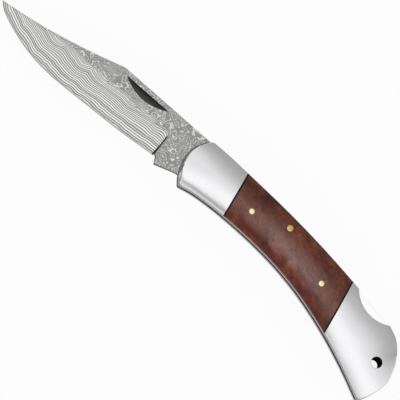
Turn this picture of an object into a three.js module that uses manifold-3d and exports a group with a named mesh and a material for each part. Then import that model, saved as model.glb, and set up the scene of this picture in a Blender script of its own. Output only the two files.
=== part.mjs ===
// Folding lock-back pocket knife, open and lying on its far side.
// Millimetres. +X runs from the blade's tip to the butt, +Y to the spine and +Z out of the near side.
// The pieces are drawn about the plane midway between the liners, and the knife is lifted at the end.

import * as THREE from 'three';
import { mergeVertices } from 'three/addons/utils/BufferGeometryUtils.js';
import Module from 'manifold-3d';

const wasm = await Module();
wasm.setup();

// Stack across the knife, from the middle outwards
const BLADE_THICKNESS = 2.8;
const WASHER_THICKNESS = 0.15;
const WASHER_PLAY = 0.05;
const LINER_THICKNESS = 1.3;
const RIM_WALL = 1.3;
const CROWN_RISE = 1.5;
const CROWN_WIDTH = 7;
const CROWN_POWER = 2.2;
const LOCK_BAR_THICKNESS = 2.9;
const SPRING_WIDTH = 2.6;

const GAP_HALF = BLADE_THICKNESS / 2 + WASHER_PLAY + WASHER_THICKNESS;
const LINER_OUTER = GAP_HALF + LINER_THICKNESS;
const RIM_HEIGHT = LINER_OUTER + RIM_WALL;
const CROWN_TOP = RIM_HEIGHT + CROWN_RISE;

// Handle outline, as the points that its four curves pass through
const SPINE_CURVE = [
  [-6.9, 7.3], [0, 7.4], [12, 7.0], [28, 6.3], [44, 5.1], [60, 3.25], [74, 1.2], [87.3, -0.94],
];
const FRONT_CURVE = [[-6.9, 7.3], [-10, 2.2], [-10.75, -1.8], [-10.1, -5.9], [-8.7, -9.9], [-6, -13.5]];
const BELLY_CURVE = [
  [-6, -13.5], [0, -12.2], [10, -11.3], [22, -11.1], [35, -11.7], [45, -12.9], [56, -15.1],
  [70, -19.2], [84, -24.6], [95.6, -29.9],
];
const BUTT_CURVE = [
  [95.6, -29.9], [97.6, -27.2], [99.4, -22.6], [100.2, -18.2], [99.5, -14.5], [97, -8.6],
  [92.5, -3.5], [87.3, -0.94],
];
const COVER_INSET = 0.15;
const LINER_CORNER = 0.4;
const COVER_CORNER = 0.9;
const COVER_CHIN_CORNER = 2;

// Slanted joints between bolster, fibre spacer and wood, each from the spine to the belly
const FRONT_JOINT = [[10.6, 6.8], [13.9, -11.2]];
const REAR_JOINT = [[66.1, 2.3], [70.4, -19.2]];
const FIBRE_THICKNESS = 0.45;
const GLUE_FILM = 0.02;

// Thumb notch, lanyard hole and pins
const NOTCH_CENTRE = [79.93, 9.9];
const NOTCH_RADIUS = 13.1;
const LANYARD_CENTRE = [92.2, -15];
const LANYARD_RADIUS = 2.13;
const PIN_CLEARANCE = 0.03;
const RUNNING_CLEARANCE = 0.1;
const SCALE_PIN_RADIUS = 1.1;
const SCALE_PIN_PLACES = { front: [20.9, -3.1], rear: [57.8, -6.3] };
const ROCKER = [35.7, 1.7];
const ROCKER_RADIUS = 1.25;
const RIVET_RADIUS = 1.1;
const RIVET_PLACES = { upper: [94.5, -9.3], lower: [93.5, -23] };
const RIVET_SEAT_DEPTH = 1.1;

// Pivot, and the tang that turns on it
const PIVOT = [-5, -3.6];
const PIVOT_RADIUS = 2;
const PIVOT_SEAT_DEPTH = 1.3;
const WASHER_RADIUS = 4.2;
const TANG_RADIUS = 6.8;
const CAM_RADIUS = 7.8;
const CAM_FRONT_ANGLE = 70;
const CAM_CREST_ANGLE = 60;
const CAM_HEEL_ANGLE = 15;

// Blade
const BLADE_SPINE_Y = 7.1;
const CLIP_CURVE = [[-49.5, 7.1], [-60, 3.9], [-72, 0.75], [-86, -2.15], [-100, -4.15]];
const EDGE_CURVE = [
  [-100, -4.35], [-97.8, -6.3], [-94, -8.25], [-90, -9.75], [-84, -11.6], [-77, -13], [-68, -13.65],
  [-52, -13.05], [-36, -12.25], [-20.6, -10.75],
];
const GRIND_LINE_Y = 0;
const EDGE_BEVEL_HEIGHT = 0.9;
const EDGE_BEVEL_THICKNESS = 0.5;
const EDGE_THICKNESS = 0.12;
const TIP_THICKNESS = 1.1;
const TAPER_START_X = -58;
const LEAST_FLAT_SHARE = 0.12;
const MOST_BEVEL_SHARE = 0.15;
const TIP_STATIONS = [0, 1, 3, 6, 10];
const GROUND_RUNS = 16;
const PLUNGE_X = -21.1;
const PLUNGE_LENGTH = 0.7;
const CHOIL = [[-20.4, -10.2], [-19.5, -10.3], [-18.8, -11.8]];
const KICK = [-18, -13.1];
const KICK_CORNER = 0.4;
const RICASSO_BELLY = [-9.6, -10.2];

// Nail nick, cut by the rim of a large tapered wheel
const NICK_CENTRE_X = -36.85;
const NICK_TOP_Y = 5.23;
const NICK_LENGTH = 20.7;
const NICK_HEIGHT = 3.06;
const NICK_DEPTH = 0.7;

// Lock bar, its tooth, and the spring under its rear arm
const TOOTH_GAP = 0.3;
const TOOTH_WIDTH = 1.8;
const TOOTH_CLEARANCE = 0.1;
const BAR_FRONT_UNDERSIDE_Y = 4.75;
const BAR_FRONT_UNDERSIDE = [[26, 2], [17, 2.4], [14, 3.4], [12.2, BAR_FRONT_UNDERSIDE_Y]];
const BAR_REAR_UNDERSIDE = [[79, -3.75], [70, -2.25], [60, -0.8], [46, 0.75]];
const BAR_END_GAP = 0.3;
const BAR_END_HEIGHT = 3.2;
const BAR_BOSS_WALL = 0.6;
const BAR_BOSS_ANGLES = [-35, -145];
const SPRING_CURVE = [[43, -0.1], [52, -1], [61, -2.5], [70, -4.15], [79, -5.85], [87, -7], [92.5, -7.7]];
const SPRING_THICKNESS = 0.9;
const SPRING_SLOT_CLEARANCE = 0.05;

// Butt spacer
const SPACER_FRONT = [[87.4, 2], [87.4, -8.5], [89.2, -12.5]];
const SPACER_TOE = [[90.6, -18.6], [90, -20.5], [88, -22.5], [87.5, -30]];
const SPACER_HOLE_WALL = 1.2;
const SPACER_RING_ANGLES = [150, 215];
const SPACER_BELLY_RECESS = 1;

// Spacing of the columns on which the crown is ground, and how far its rounded ends reach
const CROWN_END_LENGTHS = { front: 8.75, butt: 17, notch: 32 };
const CROWN_STEPS = { end: 1.2, notch: 3, middle: 5 };
const CROWN_MARGIN = 1.75;
const CROWN_ROW_MARGIN = 0.6;
const CROWN_ROW_DEPTHS = [1, 2, 3.3, 5];
const CROWN_LAND_SHARE = 1.15;

const CURVE_STEP = 5;
const FINE_STEPS = { front: 2, butt: 2.6, edge: 3 };
const ROUND_SEGMENTS = 24;
const NICK_SEGMENTS = 200;
const JOIN_OVERLAP = 0.1;

const degrees = Math.PI / 180;
const point = ([x, y]) => new THREE.Vector2(x, y);

// Points along a smooth curve through the given ones, evenly spaced
const curvePoints = (through, step = CURVE_STEP) => {
  const curve = new THREE.CatmullRomCurve3(
    through.map(([x, y]) => new THREE.Vector3(x, y, 0)), false, 'centripetal');
  return curve.getSpacedPoints(Math.max(8, Math.round(curve.getLength() / step)));
};

const polar = ([x, y], radius, angle) =>
  new THREE.Vector2(x + radius * Math.cos(angle * degrees), y + radius * Math.sin(angle * degrees));

const arcPoints = (centre, radius, from, to, steps) => {
  const points = [];
  for (let i = 0; i <= steps; i++) points.push(polar(centre, radius, from + (to - from) * i / steps));
  return points;
};

const circlePoints = (centre, radius) =>
  arcPoints(centre, radius, 0, 360 * (1 - 1 / ROUND_SEGMENTS), ROUND_SEGMENTS - 1);

// Height of a line of points at a given x, carried on straight past its ends
const heightAt = (line, x) => {
  const rising = line[0].x < line.at(-1).x ? line : [...line].reverse();
  let i = 1;
  while (i < rising.length - 1 && rising[i].x < x) i++;
  const a = rising[i - 1];
  const b = rising[i];
  return a.y + (b.y - a.y) * (x - a.x) / (b.x - a.x);
};

// Replaces one corner of a closed outline by an arc that is tangent to both of its sides. The arc ends
// just short of the corners beside it, so that no two points coincide.
const roundCorner = (outline, corner, radius, steps = 4) => {
  const share = 0.98;
  const index = outline.indexOf(corner);
  const before = outline[(index + outline.length - 1) % outline.length];
  const after = outline[(index + 1) % outline.length];
  const toBefore = before.clone().sub(corner).normalize();
  const toAfter = after.clone().sub(corner).normalize();
  const half = Math.acos(toBefore.dot(toAfter)) / 2;
  const reach = Math.min(radius / Math.tan(half), before.distanceTo(corner), after.distanceTo(corner));
  const start = corner.clone().addScaledVector(toBefore, reach * share);
  const end = corner.clone().addScaledVector(toAfter, reach * share);
  const arc = new THREE.QuadraticBezierCurve(start, corner, end).getPoints(steps);
  return [...outline.slice(0, index), ...arc, ...outline.slice(index + 1)];
};

// Moves every side of an anticlockwise outline inwards by the same distance
const insetOutline = (outline, distance) => outline.map((corner, i) => {
  const before = outline[(i + outline.length - 1) % outline.length];
  const after = outline[(i + 1) % outline.length];
  const a = corner.clone().sub(before).normalize();
  const b = after.clone().sub(corner).normalize();
  const scale = distance / (1 + a.dot(b));
  return new THREE.Vector2(corner.x - (a.y + b.y) * scale, corner.y + (a.x + b.x) * scale);
});

const handleOutline = (chinCorner, otherCorner) => {
  const spine = curvePoints(SPINE_CURVE).reverse();
  const front = curvePoints(FRONT_CURVE, FINE_STEPS.front);
  const belly = curvePoints(BELLY_CURVE);
  const butt = curvePoints(BUTT_CURVE, FINE_STEPS.butt);
  const sides = [spine, front, belly, butt];
  const corners = sides.map((side) => new THREE.Vector2(side[0].x, side[0].y));
  let outline = sides.flatMap((side, i) => [
    corners[i], ...side.slice(1, -1).map(({ x, y }) => new THREE.Vector2(x, y)),
  ]);
  outline = roundCorner(outline, corners[1], otherCorner);
  outline = roundCorner(outline, corners[2], chinCorner);
  return roundCorner(outline, corners[3], otherCorner);
};

// Solids
const solidOf = (geometry) => {
  geometry.deleteAttribute('normal');
  geometry.deleteAttribute('uv');
  const merged = mergeVertices(geometry, 1e-5);
  return new wasm.Manifold(new wasm.Mesh({
    numProp: 3,
    vertProperties: merged.attributes.position.array,
    triVerts: Uint32Array.from(merged.index.array),
  }));
};

const prism = (outline, bottom, top) => {
  const depth = top - bottom;
  const geometry = new THREE.ExtrudeGeometry(new THREE.Shape(outline), { depth, bevelEnabled: false });
  return solidOf(geometry.translate(0, 0, bottom));
};

const rod = ([x, y], radius, bottom, top, segments = ROUND_SEGMENTS) => {
  const geometry = new THREE.CylinderGeometry(radius, radius, top - bottom, segments);
  geometry.rotateX(Math.PI / 2).translate(x, y, (bottom + top) / 2);
  return solidOf(geometry);
};

// A round hole whose flats clear the pin by the given amount
const bore = (centre, pinRadius, clearance, bottom, top) =>
  rod(centre, (pinRadius + clearance) / Math.cos(Math.PI / ROUND_SEGMENTS), bottom, top);

const cutAll = (solid, cutters) => cutters.reduce((rest, cutter) => rest.subtract(cutter), solid);

// Joins rings of points that go down one face and back up the other, so that point i lies across from
// point count - 1 - i, and closes both ends. Seen from the last ring the points run anticlockwise.
const loftRings = (rings) => {
  const count = rings[0].length;
  const last = (rings.length - 1) * count;
  const index = [];
  for (let r = 0; r < rings.length - 1; r++) {
    for (let i = 0; i < count; i++) {
      const a = r * count + i;
      const b = r * count + (i + 1) % count;
      index.push(a, b, b + count, a, b + count, a + count);
    }
  }
  for (let i = 0; i < count / 2 - 1; i++) {
    const j = count - 1 - i;
    index.push(i, j, i + 1, j, j - 1, i + 1);
    index.push(last + i, last + i + 1, last + j, last + j, last + i + 1, last + j - 1);
  }
  const geometry = new THREE.BufferGeometry();
  geometry.setAttribute('position', new THREE.Float32BufferAttribute(rings.flat(2), 3));
  geometry.setIndex(index);
  return solidOf(geometry);
};

const linerOutline = handleOutline(LINER_CORNER, LINER_CORNER);
const handleBox = new THREE.Box2().setFromPoints(linerOutline);
const handleLength = handleBox.max.x - handleBox.min.x;
const coverOutline = insetOutline(handleOutline(COVER_CHIN_CORNER, COVER_CORNER), COVER_INSET);
const spineLine = curvePoints(SPINE_CURVE);
const bellyLine = curvePoints(BELLY_CURVE);

// How far a place lies inside the cover's outline, negative outside it
const depthInside = (x, y) => {
  let nearest = Infinity;
  let inside = false;
  coverOutline.forEach((a, i) => {
    const b = coverOutline[(i + 1) % coverOutline.length];
    const along = ((x - a.x) * (b.x - a.x) + (y - a.y) * (b.y - a.y)) / a.distanceToSquared(b);
    const t = THREE.MathUtils.clamp(along, 0, 1);
    nearest = Math.min(nearest, Math.hypot(x - a.x - t * (b.x - a.x), y - a.y - t * (b.y - a.y)));
    if ((a.y > y) !== (b.y > y) && x < a.x + (b.x - a.x) * (y - a.y) / (b.y - a.y)) inside = !inside;
  });
  return inside ? nearest : -nearest;
};

// The ground crown rises steeply from the rim and runs out into a flat land along the middle
const crownHeight = (x, y) => {
  const depth = Math.min(depthInside(x, y), CROWN_WIDTH);
  return RIM_HEIGHT + CROWN_RISE * (1 - Math.pow(Math.max(1 - depth / CROWN_WIDTH, 0), CROWN_POWER));
};

// Blank from which one side's bolsters, spacers and scale are cut: a grid whose rows follow spine and belly
const crownedBlank = (side) => {
  const evenSteps = (from, to, step) => {
    const count = Math.round((to - from) / step);
    return Array.from({ length: count }, (_, i) => THREE.MathUtils.lerp(from, to, i / count));
  };
  const foot = handleBox.min.x;
  const end = handleBox.max.x;
  const columns = [
    ...evenSteps(foot - CROWN_MARGIN, foot + CROWN_END_LENGTHS.front, CROWN_STEPS.end),
    ...evenSteps(foot + CROWN_END_LENGTHS.front, end - CROWN_END_LENGTHS.notch, CROWN_STEPS.middle),
    ...evenSteps(end - CROWN_END_LENGTHS.notch, end - CROWN_END_LENGTHS.butt, CROWN_STEPS.notch),
    ...evenSteps(end - CROWN_END_LENGTHS.butt, end + CROWN_MARGIN, CROWN_STEPS.end),
    end + CROWN_MARGIN,
  ];
  const rowDepths = [-CROWN_ROW_MARGIN, COVER_INSET, ...CROWN_ROW_DEPTHS, CROWN_WIDTH * CROWN_LAND_SHARE];
  const rings = columns.map((x) => {
    const spineY = heightAt(spineLine, x);
    const bellyY = heightAt(bellyLine, x);
    const rows = [...rowDepths.map((d) => spineY - d), ...rowDepths.map((d) => bellyY + d).reverse()];
    const crown = rows.map((y) => [x, y, side * crownHeight(x, y)]);
    const base = rows.map((y) => [x, y, 0]).reverse();
    const ring = [...crown, ...base];
    return side > 0 ? ring : ring.reverse();
  });
  return loftRings(rings);
};

const across = CROWN_TOP + 1;
const PIVOT_END = LINER_OUTER + PIVOT_SEAT_DEPTH;
const RIVET_END = LINER_OUTER + RIVET_SEAT_DEPTH;
const scalePinPlaces = Object.values(SCALE_PIN_PLACES);
const rivetPlaces = Object.values(RIVET_PLACES);

// The same prism or rod on the near side, or mirrored on the far side
const sidePrism = (outline, side, low, high) =>
  (side > 0 ? prism(outline, low, high) : prism(outline, -high, -low));
const sideBore = (place, radius, side, high) =>
  bore(place, radius, PIN_CLEARANCE, side > 0 ? 0 : -high, side > 0 ? high : 0);

const notch = rod(NOTCH_CENTRE, NOTCH_RADIUS, -across, across, 4 * ROUND_SEGMENTS);
const lanyardHole = rod(LANYARD_CENTRE, LANYARD_RADIUS, -across, across);
const pinBore = (place, radius, clearance = PIN_CLEARANCE) => bore(place, radius, clearance, -across, across);
const scalePinBores = scalePinPlaces.map((place) => pinBore(place, SCALE_PIN_RADIUS));
const blanks = new Map([[1, crownedBlank(1)], [-1, crownedBlank(-1)]]);

// Everything between two slanted joints, each moved rearwards by its shift
const zoneBetween = (front, rear) => {
  const reach = handleLength / 2;
  const corner = ({ joint: [[x0, y0], [x1, y1]], shift }, y) =>
    new THREE.Vector2(x0 + (x1 - x0) * (y - y0) / (y1 - y0) + shift, y);
  const outline = [corner(front, reach), corner(front, -reach), corner(rear, -reach), corner(rear, reach)];
  return prism(outline, -across, across);
};
const beyond = { front: -handleLength, rear: handleLength };
const zones = {
  front_bolster: [{ joint: FRONT_JOINT, shift: beyond.front }, { joint: FRONT_JOINT, shift: 0 }],
  fibre_spacer_front: [
    { joint: FRONT_JOINT, shift: GLUE_FILM }, { joint: FRONT_JOINT, shift: GLUE_FILM + FIBRE_THICKNESS }],
  scale: [
    { joint: FRONT_JOINT, shift: 2 * GLUE_FILM + FIBRE_THICKNESS },
    { joint: REAR_JOINT, shift: -2 * GLUE_FILM - FIBRE_THICKNESS }],
  fibre_spacer_rear: [
    { joint: REAR_JOINT, shift: -GLUE_FILM - FIBRE_THICKNESS }, { joint: REAR_JOINT, shift: -GLUE_FILM }],
  rear_bolster: [{ joint: REAR_JOINT, shift: 0 }, { joint: REAR_JOINT, shift: beyond.rear }],
};

// Liners: flat steel plates with the full outline of the handle
const liner = (side) => cutAll(sidePrism(linerOutline, side, GAP_HALF, LINER_OUTER), [
  notch,
  lanyardHole,
  pinBore(PIVOT, PIVOT_RADIUS),
  pinBore(ROCKER, ROCKER_RADIUS),
  ...scalePinBores,
  ...rivetPlaces.map((place) => pinBore(place, RIVET_RADIUS)),
]);

// Covers: bolsters, fibre spacers and wood of one side, ground to one crown and parted at the joints.
// The pivot pin and the rivets end in blind seats under the polished bolsters.
const cover = (side) => cutAll(
  sidePrism(coverOutline, side, LINER_OUTER, across).intersect(blanks.get(side)), [
    notch,
    lanyardHole,
    pinBore(ROCKER, ROCKER_RADIUS),
    sideBore(PIVOT, PIVOT_RADIUS, side, PIVOT_END + PIN_CLEARANCE),
    ...scalePinBores,
    ...rivetPlaces.map((place) => sideBore(place, RIVET_RADIUS, side, RIVET_END + PIN_CLEARANCE)),
  ]);

// Blade: ground part, as sections from the tip to the plunge line, and a flat tang that turns on the pivot
const spineEdge = [
  ...curvePoints([...CLIP_CURVE].reverse()),
  new THREE.Vector3(CLIP_CURVE[0][0] + 0.01, BLADE_SPINE_Y, 0),
  new THREE.Vector3(PIVOT[0], BLADE_SPINE_Y, 0),
];
const cuttingEdge = curvePoints(EDGE_CURVE, FINE_STEPS.edge);

const bladeSection = (x) => {
  const spineY = heightAt(spineEdge, x);
  const edgeY = heightAt(cuttingEdge, x);
  const height = spineY - edgeY;
  const grindY = Math.min(GRIND_LINE_Y, spineY - height * LEAST_FLAT_SHARE);
  const bevelY = edgeY + Math.min(EDGE_BEVEL_HEIGHT, height * MOST_BEVEL_SHARE);
  const taperLength = TAPER_START_X - CLIP_CURVE.at(-1)[0];
  const towardsTip = THREE.MathUtils.clamp((TAPER_START_X - x) / taperLength, 0, 1);
  const plunge = THREE.MathUtils.smoothstep(x, PLUNGE_X, PLUNGE_X + PLUNGE_LENGTH);
  const spine = THREE.MathUtils.lerp(BLADE_THICKNESS, TIP_THICKNESS, towardsTip) / 2;
  const bevel = THREE.MathUtils.lerp(EDGE_BEVEL_THICKNESS, BLADE_THICKNESS, plunge) / 2;
  const edge = THREE.MathUtils.lerp(EDGE_THICKNESS, BLADE_THICKNESS, plunge) / 2;
  const near = [[x, spineY, spine], [x, grindY, spine], [x, bevelY, bevel], [x, edgeY, edge]];
  return [...near, ...near.map(([, y, z]) => [x, y, -z]).reverse()];
};

const groundBlade = () => {
  const tipX = CLIP_CURVE.at(-1)[0];
  const stations = TIP_STATIONS.map((distance) => tipX + distance);
  const rearmost = stations.at(-1);
  for (let i = 1; i < GROUND_RUNS; i++) {
    stations.push(THREE.MathUtils.lerp(rearmost, PLUNGE_X, i / GROUND_RUNS));
  }
  stations.splice(stations.findIndex((x) => x > CLIP_CURVE[0][0]), 0, CLIP_CURVE[0][0]);
  stations.push(...[0, 0.35, 0.7, 1].map((share) => PLUNGE_X + share * PLUNGE_LENGTH));
  return loftRings(stations.map(bladeSection));
};

const tang = () => {
  const frontX = PLUNGE_X + PLUNGE_LENGTH - JOIN_OVERLAP;
  const kick = point(KICK);
  const toBelly = point(RICASSO_BELLY).sub(point(PIVOT));
  const tangentAngle = (toBelly.angle() + Math.acos(TANG_RADIUS / toBelly.length())) / degrees;
  const ricasso = roundCorner([
    new THREE.Vector2(frontX, BLADE_SPINE_Y),
    ...CHOIL.map(point),
    kick,
    point(RICASSO_BELLY),
    polar(PIVOT, TANG_RADIUS, tangentAngle),
    point(PIVOT),
    new THREE.Vector2(PIVOT[0], BLADE_SPINE_Y),
  ], kick, KICK_CORNER);
  const cam = [
    point(PIVOT),
    polar(PIVOT, TANG_RADIUS, CAM_HEEL_ANGLE),
    ...arcPoints(PIVOT, CAM_RADIUS, CAM_CREST_ANGLE, CAM_FRONT_ANGLE, 3),
  ];
  const half = BLADE_THICKNESS / 2;
  return prism(ricasso, -half, half)
    .add(rod(PIVOT, TANG_RADIUS, -half, half, 2 * ROUND_SEGMENTS))
    .add(prism(cam, -half, half));
};

const nailNick = () => {
  const wheel = (NICK_LENGTH ** 2 / 4 + NICK_DEPTH ** 2) / (2 * NICK_DEPTH);
  const overrun = NICK_HEIGHT * 0.2;
  const innerRadius = wheel - NICK_DEPTH * (NICK_HEIGHT + overrun) / NICK_HEIGHT;
  const geometry = new THREE.CylinderGeometry(wheel, innerRadius, NICK_HEIGHT + overrun, NICK_SEGMENTS);
  geometry.translate(
    NICK_CENTRE_X, NICK_TOP_Y - (NICK_HEIGHT + overrun) / 2, BLADE_THICKNESS / 2 + wheel - NICK_DEPTH);
  return solidOf(geometry);
};

const blade = () => cutAll(groundBlade().add(tang()), [
  nailNick(),
  pinBore(PIVOT, PIVOT_RADIUS, RUNNING_CLEARANCE),
]);

// Lock bar: its back is flush with the spine, its tooth stands over the tang and its rear end fills the notch
const spineBetween = (from, to) => [
  new THREE.Vector2(from, heightAt(spineLine, from)),
  ...spineLine.filter(({ x }) => x > from + 0.5 && x < to - 0.5).map(({ x, y }) => new THREE.Vector2(x, y)),
  new THREE.Vector2(to, heightAt(spineLine, to)),
];

const lockBar = () => {
  const toothFront = PIVOT[0] + TOOTH_GAP;
  const toothRear = toothFront + TOOTH_WIDTH;
  const toothRadius = CAM_RADIUS + TOOTH_CLEARANCE;
  const angleAt = (x) => Math.acos((x - PIVOT[0]) / toothRadius) / degrees;
  const end = SPINE_CURVE.at(-1)[0] - BAR_END_GAP;
  const bossRadius = ROCKER_RADIUS + RUNNING_CLEARANCE + BAR_BOSS_WALL;
  const outline = [
    ...spineBetween(toothFront, end),
    new THREE.Vector2(end, heightAt(spineLine, end) - BAR_END_HEIGHT),
    ...BAR_REAR_UNDERSIDE.map(point),
    ...arcPoints(ROCKER, bossRadius, ...BAR_BOSS_ANGLES, 6),
    ...BAR_FRONT_UNDERSIDE.map(point),
    new THREE.Vector2(toothRear, BAR_FRONT_UNDERSIDE_Y),
    ...arcPoints(PIVOT, toothRadius, angleAt(toothRear), angleAt(toothFront), 3),
  ];
  const half = LOCK_BAR_THICKNESS / 2;
  return prism(outline, -half, half).subtract(pinBore(ROCKER, ROCKER_RADIUS, RUNNING_CLEARANCE));
};

// Lock spring: a flat leaf whose root is held in a slot of the butt spacer
const leaf = (thickness, width) => {
  const middle = curvePoints(SPRING_CURVE);
  const side = (sign) => middle.map(({ x, y }, i) => {
    const before = middle[Math.max(i - 1, 0)];
    const after = middle[Math.min(i + 1, middle.length - 1)];
    const length = before.distanceTo(after);
    return new THREE.Vector2(
      x - sign * (after.y - before.y) / length * thickness / 2,
      y + sign * (after.x - before.x) / length * thickness / 2);
  });
  return prism([...side(1), ...side(-1).reverse()], -width / 2, width / 2);
};

const buttSpacer = () => {
  const raised = linerOutline.map(({ x, y }) => new THREE.Vector2(x, y + SPACER_BELLY_RECESS));
  const front = [
    ...SPACER_FRONT.map(point),
    ...arcPoints(LANYARD_CENTRE, LANYARD_RADIUS + SPACER_HOLE_WALL, ...SPACER_RING_ANGLES, 4),
    ...SPACER_TOE.map(point),
    new THREE.Vector2(handleBox.max.x + handleLength, SPACER_TOE.at(-1)[1] - handleLength),
    new THREE.Vector2(handleBox.max.x + handleLength, SPACER_FRONT[0][1]),
  ];
  return cutAll(
    prism(linerOutline, -GAP_HALF, GAP_HALF)
      .intersect(prism(raised, -across, across))
      .intersect(prism(front, -across, across)),
    [
      lanyardHole,
      leaf(SPRING_THICKNESS + 2 * SPRING_SLOT_CLEARANCE, 2 * across),
      ...rivetPlaces.map((place) => pinBore(place, RIVET_RADIUS)),
    ]);
};

const washer = (side) => {
  const inner = GAP_HALF - WASHER_THICKNESS;
  return sidePrism(circlePoints(PIVOT, WASHER_RADIUS), side, inner, GAP_HALF)
    .subtract(pinBore(PIVOT, PIVOT_RADIUS));
};

// Materials
const steel = { color: 0xc9cbce, roughness: 0.25, metalness: 1 };
const satinSteel = { color: 0xb4b6b8, roughness: 0.4, metalness: 1 };
const patternedSteel = { color: 0xa9a8a4, roughness: 0.45, metalness: 1 };
const wood = { color: 0x6b3d2e, roughness: 0.45, metalness: 0 };
const fibre = { color: 0x141314, roughness: 0.7, metalness: 0 };
const brass = { color: 0xd9b76a, roughness: 0.3, metalness: 1 };
const bronze = { color: 0xb08a55, roughness: 0.4, metalness: 1 };

const knife = new THREE.Group();
const addPiece = (name, solid, finish) => {
  const { vertProperties, triVerts } = solid.getMesh();
  const geometry = new THREE.BufferGeometry();
  geometry.setAttribute('position', new THREE.BufferAttribute(vertProperties, 3));
  geometry.setIndex(new THREE.BufferAttribute(triVerts, 1));
  geometry.computeVertexNormals();
  const mesh = new THREE.Mesh(geometry, new THREE.MeshStandardMaterial(finish));
  mesh.name = name;
  knife.add(mesh);
};

addPiece('blade', blade(), patternedSteel);
addPiece('pivot_pin', rod(PIVOT, PIVOT_RADIUS, -PIVOT_END, PIVOT_END), satinSteel);
addPiece('lock_bar', lockBar(), steel);
addPiece('lock_spring', leaf(SPRING_THICKNESS, SPRING_WIDTH), satinSteel);
addPiece('butt_spacer', buttSpacer(), satinSteel);
addPiece(
  'lock_bar_pin',
  rod(ROCKER, ROCKER_RADIUS, -across, across).intersect(blanks.get(1).add(blanks.get(-1))),
  brass);
for (const [place, centre] of Object.entries(RIVET_PLACES)) {
  addPiece(`butt_rivet_${place}`, rod(centre, RIVET_RADIUS, -RIVET_END, RIVET_END), satinSteel);
}

const coverFinish = {
  front_bolster: steel, fibre_spacer_front: fibre, scale: wood, fibre_spacer_rear: fibre, rear_bolster: steel,
};
for (const [name, side] of [['near', 1], ['far', -1]]) {
  addPiece(`pivot_washer_${name}`, washer(side), bronze);
  addPiece(`liner_${name}`, liner(side), satinSteel);
  const wholeCover = cover(side);
  for (const [piece, [front, rear]] of Object.entries(zones)) {
    addPiece(`${piece}_${name}`, wholeCover.intersect(zoneBetween(front, rear)), coverFinish[piece]);
  }
  for (const [place, centre] of Object.entries(SCALE_PIN_PLACES)) {
    const pin = sidePrism(circlePoints(centre, SCALE_PIN_RADIUS), side, GAP_HALF, across);
    addPiece(`scale_pin_${place}_${name}`, pin.intersect(blanks.get(side)), brass);
  }
}

// The knife lies on its far side with the middle of its length and width over the origin
const box = new THREE.Box3().setFromObject(knife);
const middle = box.getCenter(new THREE.Vector3());
knife.position.set(-middle.x, -middle.y, -box.min.z);

export default knife;
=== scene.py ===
# Folding lock-back pocket knife, open, lying on its far side.
import math

import bpy
import numpy as np
from mathutils import Matrix, Vector
from mathutils.geometry import tessellate_polygon


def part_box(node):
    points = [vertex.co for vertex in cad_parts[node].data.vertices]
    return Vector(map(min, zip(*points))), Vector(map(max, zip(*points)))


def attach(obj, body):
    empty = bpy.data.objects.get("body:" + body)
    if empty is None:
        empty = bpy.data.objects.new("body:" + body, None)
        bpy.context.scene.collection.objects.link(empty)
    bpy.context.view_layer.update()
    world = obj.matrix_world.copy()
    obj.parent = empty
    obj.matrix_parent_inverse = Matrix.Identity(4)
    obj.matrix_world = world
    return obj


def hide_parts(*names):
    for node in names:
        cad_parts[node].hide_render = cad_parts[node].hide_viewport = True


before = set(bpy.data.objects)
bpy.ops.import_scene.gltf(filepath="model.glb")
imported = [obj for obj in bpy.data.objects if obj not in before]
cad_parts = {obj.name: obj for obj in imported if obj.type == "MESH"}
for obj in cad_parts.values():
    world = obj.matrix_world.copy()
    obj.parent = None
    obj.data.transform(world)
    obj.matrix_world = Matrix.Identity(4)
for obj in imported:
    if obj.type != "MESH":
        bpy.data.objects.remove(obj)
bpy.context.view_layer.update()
MM = 0.001


# Camera. It looks down on the near side from a little below the belly, with the knife slanting from
# the upper left to the lower right. The pivot pin gives the place that all measures are taken from.
PIVOT = np.array([-5.0, -3.6])
CAMERA_DISTANCE = 1500 * MM
PHOTO_SIZE = 400
PIXELS_PER_MM = 2.70
PHOTO_ROLL = math.radians(41.24)
PHOTO_TILT = math.radians(11.3)
SENSOR_WIDTH = 36
AIM = np.array([3.7, -11.73, 0])
pin_low, pin_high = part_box("pivot_pin")
ORIGIN = np.array((pin_low + pin_high) / 2) - np.append(PIVOT, 0) * MM

outwards = Vector((0, -math.sin(PHOTO_TILT), math.cos(PHOTO_TILT)))
level = Vector((1, 0, 0))
upwards = outwards.cross(level)
right = level * math.cos(PHOTO_ROLL) + upwards * math.sin(PHOTO_ROLL)
aim = Vector(ORIGIN + AIM * MM)
camera_data = bpy.data.cameras.new("camera")
camera = bpy.data.objects.new("camera", camera_data)
bpy.context.scene.collection.objects.link(camera)
facing = Matrix((right, outwards.cross(right), outwards)).transposed().to_4x4()
camera.matrix_world = Matrix.Translation(aim + outwards * CAMERA_DISTANCE) @ facing
camera_data.sensor_width = SENSOR_WIDTH
camera_data.lens = SENSOR_WIDTH * CAMERA_DISTANCE / (PHOTO_SIZE / PIXELS_PER_MM * MM)
bpy.context.scene.camera = camera


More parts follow.
